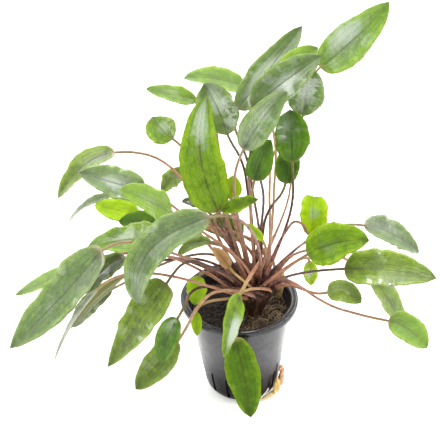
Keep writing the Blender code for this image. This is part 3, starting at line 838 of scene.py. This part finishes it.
def make_peat():
    """The peat's top and its sides, which show through the slots."""
    points = [(*SOIL_MIDDLE, peat_height(*SOIL_MIDDLE))]
    turns = [2 * pi * column / SOIL_COLUMNS for column in range(SOIL_COLUMNS)]
    for ring in range(1, SOIL_RINGS + 1):
        radius = SOIL_RADIUS * (ring / SOIL_RINGS) ** 0.8
        for turn in turns:
            x, y, _ = round_spot(SOIL_MIDDLE, radius, turn, 0)
            points.append((x, y, peat_height(x, y)))
    for height in SOIL_SIDE_ROWS:
        for turn in turns:
            rough = noise.noise(Vector((cos(turn) * 9, sin(turn) * 9, height * 0.8)))
            reach = inner_radius(height * MM) - 0.4 * MM - 0.5 * MM * abs(rough)
            points.append(round_spot((pot_aside(height * MM), 0), reach, turn, height * MM))
    last = len(points) - SOIL_COLUMNS
    faces = tube((len(points) - 1) // SOIL_COLUMNS, SOIL_COLUMNS, first=1, turned=True)
    for column in range(SOIL_COLUMNS):
        following = (column + 1) % SOIL_COLUMNS
        faces.append((0, 1 + column, 1 + following))
        faces.append((last + column, len(points), last + following))
    points.append((0, 0, 2.2 * MM))
    mesh = mesh_of("peat_bed", points, faces)
    new_object(mesh, peat_material(), ["soil"])


def peat_material():
    """Damp peat: nearly black, with brown and tan flecks."""
    g = Graph("peat", Specular_IOR_Level=0.4)
    lump = g.noise(1.6, 4, 0.5)
    fleck = g.noise(0.5, 3)
    strand = g.noise(0.8, 2, 6)
    dark = g.mix(g.smooth(lump, 0.35, 0.75), (20, 16, 14), (52, 40, 32))
    tan = g.mix(g.smooth(strand, 0.62, 0.75, 0.6), dark, (132, 104, 72))
    colour = g.mix(g.smooth(fleck, 0.68, 0.8, 0.5), tan, (156, 132, 98))
    rough = g.between(lump, 0.5, 1.0)
    height = g.plus(lump, g.times(fleck, 0.5))
    return g.finish(colour, rough, height, 0.7)


def tone_material(name, darkest, middle, lightest, rough):
    """For loose bits: each bit's own tone picks its colour."""
    g = Graph(name, Specular_IOR_Level=0.4)
    speck = g.noise(0.6, 3)
    tone = g.plus(g.attribute("tone"), g.about_zero(speck, 0.5))
    colour = g.mix(g.smooth(tone, 0.0, 0.5), darkest, middle)
    colour = g.mix(g.smooth(tone, 0.5, 1.0), colour, lightest)
    spread = g.between(speck, rough - 0.15, rough + 0.1)
    return g.finish(colour, spread, speck, 0.15)


class Bits:
    """Many small loose bits gathered into one mesh, each with its own tone."""

    def __init__(self):
        self.points = []
        self.faces = []
        self.tones = []

    def add(self, points, faces, tone):
        start = len(self.points)
        self.points += points
        self.faces += [tuple(start + corner for corner in face) for face in faces]
        self.tones += [tone] * len(points)

    def lump(self, rng, middle, size, tone):
        """A crumb: an uneven ball of 20 faces."""
        ball = bmesh.new()
        bmesh.ops.create_icosphere(ball, subdivisions=1, radius=1)
        stretch = [rng.uniform(0.6, 1.2) * size for _ in range(3)]
        turn = Matrix.Rotation(rng.uniform(0, pi), 3, Vector([rng.gauss(0, 1) for _ in range(3)]))
        points = []
        for vertex in ball.verts:
            spot = vertex.co * rng.uniform(0.75, 1.15)
            points.append(middle + turn @ Vector([spot[i] * stretch[i] for i in range(3)]))
        self.add(points, [[v.index for v in face.verts] for face in ball.faces], tone)
        ball.free()

    def strand(self, route, radii, tone, sides=5):
        """A thin tube through the points of its route, closed at both ends."""
        points = []
        normal = Vector((0.3, 0.2, 1))
        for i, spot in enumerate(route):
            before, after = route[max(i - 1, 0)], route[min(i + 1, len(route) - 1)]
            way = (after - before).normalized()
            side = way.cross(normal).normalized()
            up = side.cross(way)
            for k in range(sides):
                angle = 2 * pi * k / sides
                points.append(spot + (side * cos(angle) + up * sin(angle)) * radii[i])
        self.add(points, closed_tube(len(route), sides), tone)

    def finish(self, name, slot, *tones):
        mesh = mesh_of(name, self.points, self.faces)
        give_attribute(mesh, "tone", self.tones)
        new_object(mesh, tone_material(*tones))


def on_peat(rng, margin):
    """A random spot on the peat, this many mm from its edge and not under the crown."""
    while True:
        radius = (SOIL_RADIUS - margin * MM) * sqrt(rng.random())
        x, y, _ = round_spot(SOIL_MIDDLE, radius, rng.uniform(0, 2 * pi), 0)
        if hypot(x - CROWN_PLACE.x, y - CROWN_PLACE.y) > BARE_RADIUS:
            return x, y


def fibre_route(rng, x, y, length, rise):
    """A curling way over the peat from one spot."""
    heading = rng.uniform(0, 2 * pi)
    curl = rng.gauss(0, 0.12)
    steps = max(4, round(length / (0.7 * MM)))
    route = []
    for step in range(steps):
        share = step / (steps - 1)
        lift = rise * sin(pi * share) + rng.uniform(-0.05, 0.12) * MM
        if hypot(x - SOIL_MIDDLE[0], y) > SOIL_RADIUS - 0.6 * MM:
            heading += 0.6 * pi  # turns back at the pot's wall
        route.append(Vector((x, y, peat_height(x, y) + 0.1 * MM + lift)))
        heading += curl + rng.gauss(0, 0.35)
        x += cos(heading) * length / steps
        y += sin(heading) * length / steps
    return route


def thinning(thick, steps):
    """The radii of a strand that is about half as thick at its end."""
    return [thick * (1 - 0.5 * i / steps) for i in range(steps)]


def make_loose_bits():
    """Crumbs and fibres on the peat: mostly dark at the left, many light fibres at the right."""
    rng = random.Random(LOOSE_SEED)
    crumbs = Bits()
    for _ in range(CRUMBS):
        x, y = on_peat(rng, 0.8)
        size = rng.uniform(*CRUMB_SIZES) * MM
        tone = rng.random() ** 2 * (0.85 if x > -2 * MM else 0.4)
        crumbs.lump(rng, Vector((x, y, peat_height(x, y) + 0.3 * size)), size, tone)
    crumbs.lump(rng, FRONT_GRAIN, 0.6 * MM, 1.3)
    crumbs.finish("peat_crumbs", "peat", "crumbs", (26, 21, 18), (74, 56, 40), (206, 186, 152), 0.8)

    fibres = Bits()
    for number in range(FIBRES):
        x, y = on_peat(rng, 1.2)
        light = number < LIGHT_FIBRES
        while light and x * 0.9 - y * 0.6 < 2 * MM:  # not at the front right
            x, y = on_peat(rng, 1.2)
        length = rng.uniform(*FIBRE_LENGTHS) * MM
        thick = rng.uniform(0.04, 0.11) * MM
        route = fibre_route(rng, x, y, length, rng.uniform(0, 1.1) * MM)
        tone = rng.random() ** 1.1 if light else 0.4 * rng.random()
        fibres.strand(route, thinning(thick, len(route)), tone)
    for _ in range(CURLS):
        x, y = on_peat(rng, 2)
        while x * 0.9 - y * 0.3 < 4 * MM:
            x, y = on_peat(rng, 2)
        thick = rng.uniform(0.1, 0.2) * MM
        route = fibre_route(rng, x, y, rng.uniform(*CURL_LENGTHS) * MM, rng.uniform(0.5, 2.2) * MM)
        fibres.strand(route, thinning(thick, len(route)), rng.uniform(0.3, 1.1))
    fibres.finish("peat_fibres", "peat", "peat_fibre", (34, 26, 22), (96, 76, 56), (190, 166, 130), 0.65)


CROWN_FOOT_RADIUS = 4.7 * MM
CROWN_HEAD_RADIUS = 8.9 * MM
CROWN_FLARE = 1.6
CROWN_IN_SOIL = 0.6 * MM
CROWN_TOP = 64 * MM
CROWN_DOME = 4.5 * MM
CROWN_LEAN = Vector((2.0 * MM, 1.0 * MM))
CROWN_COLUMNS = 168
OLD_SHEATHS = 15
SHEATH_STEPS = 8
SHEATH_IN_SOIL = 0.5 * MM
SHEATH_AWAY = 0.3 * MM
SHEATH_RADIUS = 1.05 * MM
SHEATH_THINNING = 0.25 * MM
SHEATH_FIBRES = 220
SHEATH_FIBRE_STEPS = 6
SHEATH_FIBRE_HEIGHTS = (5, 17)
SHEATH_FIBRE_AWAY = (0.2, 3.4)


def flaring(share):
    """The crown's radius at this share of the way up its side."""
    return CROWN_FOOT_RADIUS + (CROWN_HEAD_RADIUS - CROWN_FOOT_RADIUS) * share**CROWN_FLARE


def crown_axis(height):
    """How far up the crown a height is, as a share, and the crown's middle there."""
    rise = (height - SOIL_TOP) / (CROWN_TOP - SOIL_TOP)
    return rise, CROWN_PLACE + CROWN_LEAN * rise


def beside_crown(height, angle, away):
    """The spot at this height and angle, this far out from the crown's side."""
    rise, middle = crown_axis(height)
    return Vector(round_spot(middle, flaring(max(0, rise)) + away, angle, height))


def make_crown():
    """The rootstock, wrapped in the feet of old sheaths: a bundle of rounded upright ridges."""
    rng = random.Random(CROWN_SEED)
    starts = sorted((k + rng.uniform(-0.25, 0.25)) / OLD_SHEATHS for k in range(OLD_SHEATHS))
    foot = SOIL_TOP - CROWN_IN_SOIL
    sections = []
    for share in np.linspace(0, 1, 18):
        sections.append((flaring(share), foot + (CROWN_TOP - CROWN_DOME - foot) * share, 1.0))
    for share in np.linspace(0.95, 0.05, 12):
        sections.append((CROWN_HEAD_RADIUS * share, CROWN_TOP - CROWN_DOME * share**2, share))
    points, ridges = [], []
    for radius, height, depth in sections:
        rise, middle = crown_axis(height)
        for column in range(CROWN_COLUMNS):
            turn = column / CROWN_COLUMNS
            shifted = (turn + 0.04 * rise) % 1
            before = max((s for s in starts if s <= shifted), default=starts[-1] - 1)
            after = min((s for s in starts if s > shifted), default=starts[0] + 1)
            across = (shifted - before) / (after - before)
            ridge = abs(sin(pi * across)) ** 0.7
            reach = radius * (0.93 + 0.08 * ridge * depth)
            points.append(round_spot(middle, reach, 2 * pi * turn, height))
            ridges.append(ridge)
    mesh = mesh_of("sheathed_crown", points, closed_tube(len(sections), CROWN_COLUMNS))
    give_attribute(mesh, "ridge", ridges)
    new_object(mesh, crown_material(), ["crown"])


def make_sheaths(feet):
    """Each stalk's brown sheath, running down the crown into the peat."""
    rng = random.Random(SHEATH_SEED)
    sheaths = Bits()
    for foot in feet:
        middle = crown_axis(foot.z)[1]
        angle = atan2(foot.y - middle.y, foot.x - middle.x)
        drift = rng.gauss(0, 0.12)
        low = SOIL_TOP - SHEATH_IN_SOIL
        route, radii = [], []
        for step in range(SHEATH_STEPS + 1):
            share = step / SHEATH_STEPS
            spot = beside_crown(low + (foot.z - low) * share, angle + drift * (1 - share), SHEATH_AWAY)
            route.append(spot.lerp(foot, soft_step(share * 2 - 1)))
            radii.append(SHEATH_RADIUS - SHEATH_THINNING * share)
        sheaths.strand(route, radii, rng.uniform(0.25, 0.6), sides=10)
    tones = (52, 34, 27), (112, 78, 58), (158, 122, 82)
    sheaths.finish("stalk_sheaths", "crown", "stalk_sheath", *tones, 0.55)


def make_sheath_fibres():
    """Dry brown strips of old sheaths, standing in the peat close round the crown."""
    rng = random.Random(SHEATH_FIBRE_SEED)
    fibres = Bits()
    for _ in range(SHEATH_FIBRES):
        angle = rng.uniform(0, 2 * pi)
        top = rng.uniform(*SHEATH_FIBRE_HEIGHTS) * MM
        near = rng.uniform(*SHEATH_FIBRE_AWAY) * MM
        route = []
        for step in range(SHEATH_FIBRE_STEPS + 1):
            share = step / SHEATH_FIBRE_STEPS
            away = near * share**0.6 + rng.uniform(0, 0.35) * MM
            angle += rng.gauss(0, 0.05)
            route.append(beside_crown(SOIL_TOP + top * share, angle, away))
        thick = rng.uniform(0.14, 0.42) * MM
        radii = [thick * (1 - 0.7 * i / SHEATH_FIBRE_STEPS) for i in range(len(route))]
        fibres.strand(route, radii, rng.random() ** 1.2)
    fibres.finish("sheath_fibres", "crown", "sheath_fibre", (44, 31, 22), (96, 68, 46), (158, 122, 82), 0.6)


def crown_material():
    """Brown sheaths with upright streaks, and painted shade dark in the grooves."""
    g = Graph("crown", Specular_IOR_Level=0.45, Coat_Weight=0.2, Coat_Roughness=0.3)
    stretched = g.add("Mapping", {"Vector": g.place(), "Scale": (1, 1, 0.1)})
    streak = g.noise(0.9, 3, 0.2, stretched)
    blotch = g.noise(3, 2)
    brown = g.mix(g.smooth(blotch, 0.35, 0.65), (88, 60, 40), (122, 92, 60))
    streaked = g.mix(g.smooth(streak, 0.45, 0.62, 0.6), brown, (56, 38, 28))
    # Painted shade in the grooves between the ridges.
    colour = g.mix(g.smooth(g.attribute("ridge"), 0.55, 0.1), streaked, (30, 20, 16))
    rough = g.between(streak, 0.35, 0.7)
    return g.finish(colour, rough, streak, 0.25)


SKIN_CUTS = 2
SKIN_LUMP = 1.6 * MM
SKIN_DEPTH = 0.22 * MM


def roughened(node):
    """A finer copy of a solid's surface, made uneven."""
    shape = bmesh.new()
    shape.from_mesh(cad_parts[node].data)
    bmesh.ops.remove_doubles(shape, verts=shape.verts, dist=SAME_PLACE)
    bmesh.ops.subdivide_edges(shape, edges=shape.edges, cuts=SKIN_CUTS, use_grid_fill=True)
    for _ in range(3):
        bmesh.ops.smooth_vert(
            shape, verts=shape.verts, factor=0.5, use_axis_x=True, use_axis_y=True, use_axis_z=True
        )
    shape.normal_update()
    for vertex in shape.verts:
        spot = vertex.co / SKIN_LUMP
        vertex.co += vertex.normal * SKIN_DEPTH * (noise.noise(spot) + 0.5 * noise.noise(spot * 2.7))
    mesh = bpy.data.meshes.new(node + "_skin")
    shape.to_mesh(mesh)
    shape.free()
    mesh.shade_smooth()
    return mesh


def bark_material(name, light, dark, rough):
    """Root and old sheath: blotches of a darker tone, with fine pits."""
    g = Graph(name, Subsurface_Weight=0.15, Subsurface_Radius=(1, 0.6, 0.3), Subsurface_Scale=0.8 * MM)
    streak = g.noise(1.6, 4, 0.8)
    pit = g.noise(0.4, 2)
    colour = g.mix(g.smooth(streak, 0.36, 0.7), light, dark)
    colour = g.mix(g.smooth(pit, 0.62, 0.75, 0.4), colour, tuple(c * 0.6 for c in dark))
    spread = g.between(streak, rough - 0.1, rough + 0.15)
    height = g.plus(streak, g.times(pit, 0.4))
    return g.finish(colour, spread, height, 0.3)


ROOT_FINISHES = {
    "root_1": ("root", (236, 196, 152), (190, 130, 84), 0.5),
    "root_2": ("root", (246, 214, 136), (218, 168, 92), 0.5),
    "root_3": ("root", (246, 226, 178), (220, 186, 126), 0.55),
    "old_stalk": ("crown", (206, 186, 128), (158, 126, 80), 0.55),
}
WHITE_ROOT = ((12.5, -14.0, 8.0), (11.5, -14.7, 6.4), (10.2, -15.4, 5.2), (8.7, -15.9, 3.4))  # mm
WHITE_ROOT_RADIUS = 0.34 * MM
WHITE_ROOT_THINNING = 0.012 * MM


def make_roots():
    """The old roots outside the pot, a thin white one, and the sheath of a leaf that was cut off."""
    for node, (slot, light, dark, rough) in ROOT_FINISHES.items():
        new_object(roughened(node), bark_material(node, light, dark, rough), [node])
    white = Bits()
    ends = [Vector(spot) * MM for spot in WHITE_ROOT]
    route = [here.lerp(there, t / 4) for here, there in zip(ends, ends[1:]) for t in range(4)] + ends[-1:]
    radii = [WHITE_ROOT_RADIUS - WHITE_ROOT_THINNING * i for i in range(len(route))]
    white.strand(route, radii, 0.8, sides=8)
    white.finish("white_root", "root", "white_root", (180, 150, 110), (226, 210, 180), (250, 244, 228), 0.5)


# The eye stands 700 mm off, 35.2 degrees above level.
EYE_DISTANCE = 700 * MM
EYE_TILT = radians(35.2)
EYE_ASIDE = -9.75 * MM
EYE_ABOVE = 77 * MM
LAYOUT_MIDDLE = Vector((-1.5, 0, 4)) * MM
FOCAL_PIXELS = 1400
FRAME_PIXELS = 443
SENSOR = 36


def make_camera():
    data = bpy.data.cameras.new("camera")
    data.sensor_width = SENSOR
    data.lens = FOCAL_PIXELS * SENSOR / FRAME_PIXELS
    data.clip_start = 0.01
    camera = bpy.data.objects.new("camera", data)
    upward = Vector((0, sin(EYE_TILT), cos(EYE_TILT)))
    toward = Vector((0, -cos(EYE_TILT), sin(EYE_TILT)))
    aside = Vector((EYE_ASIDE, 0, 0))
    camera.location = LAYOUT_MIDDLE + aside + upward * EYE_ABOVE + toward * EYE_DISTANCE
    camera.rotation_euler = (pi / 2 - EYE_TILT, 0, 0)
    bpy.context.scene.collection.objects.link(camera)
    bpy.context.scene.camera = camera


# The studio: a dome that is bright behind and above the plant and dim in front, and three softboxes.
DOME_TOWARD = (0.1, 0.5, 0.86)
DOME_DIM = 0.3
DOME_BRIGHT = 2.1
FLOOR_GLOW = 0.42


def soft_light(name, place, spread, strength):
    """A large, far softbox: light from the direction of place, as wide as this angle."""
    data = bpy.data.lights.new(name, "SUN")
    data.angle = radians(spread)
    data.energy = strength
    light = bpy.data.objects.new(name, data)
    light.location = place
    light.rotation_euler = (-Vector(place)).to_track_quat("-Z", "Y").to_euler()
    bpy.context.scene.collection.objects.link(light)


def make_dome():
    g = Graph("studio", world=True, Color=(1, 1, 1, 1))
    ways = {0: g.add("TexCoord", output="Generated"), 1: DOME_TOWARD}
    toward = g.add("VectorMath", ways, output="Value", operation="DOT_PRODUCT")
    inputs = {"Value": toward, "From Min": -0.2, "To Min": DOME_DIM, "To Max": DOME_BRIGHT}
    strength = g.add("MapRange", inputs, interpolation_type="SMOOTHSTEP")
    bpy.context.scene.world = g.set(Strength=strength)


def make_studio():
    """A white room with large soft lights, and a pale floor that glows a little like a light table."""
    scene = bpy.context.scene
    scene.view_settings.view_transform = "Standard"
    make_dome()
    soft_light("softbox_top", (0.18, -0.2, 1.0), 17, 0.9)
    soft_light("softbox_back", (0.1, 0.75, 0.85), 24, 0.8)
    soft_light("softbox_left", (-0.9, -0.3, 0.9), 40, 0.8)

    floor_mesh = mesh_of("floor", [(-4, -4, 0), (4, -4, 0), (4, 4, 0), (-4, 4, 0)], [(0, 1, 2, 3)])
    floor = bpy.data.objects.new("floor", floor_mesh)
    g = Graph("floor", Roughness=0.9, Specular_IOR_Level=0.1, Emission_Strength=FLOOR_GLOW)
    paper = g.mix(g.noise(3, 2), (248, 248, 248), (252, 252, 252))
    floor_mesh.materials.append(g.set(Base_Color=paper, Emission_Color=paper))
    scene.collection.objects.link(floor)


make_camera()
make_studio()
stalk_feet = make_leaves()
make_pot()
make_peat()
make_loose_bits()
make_crown()
make_sheaths(stalk_feet)
make_sheath_fibres()
make_roots()
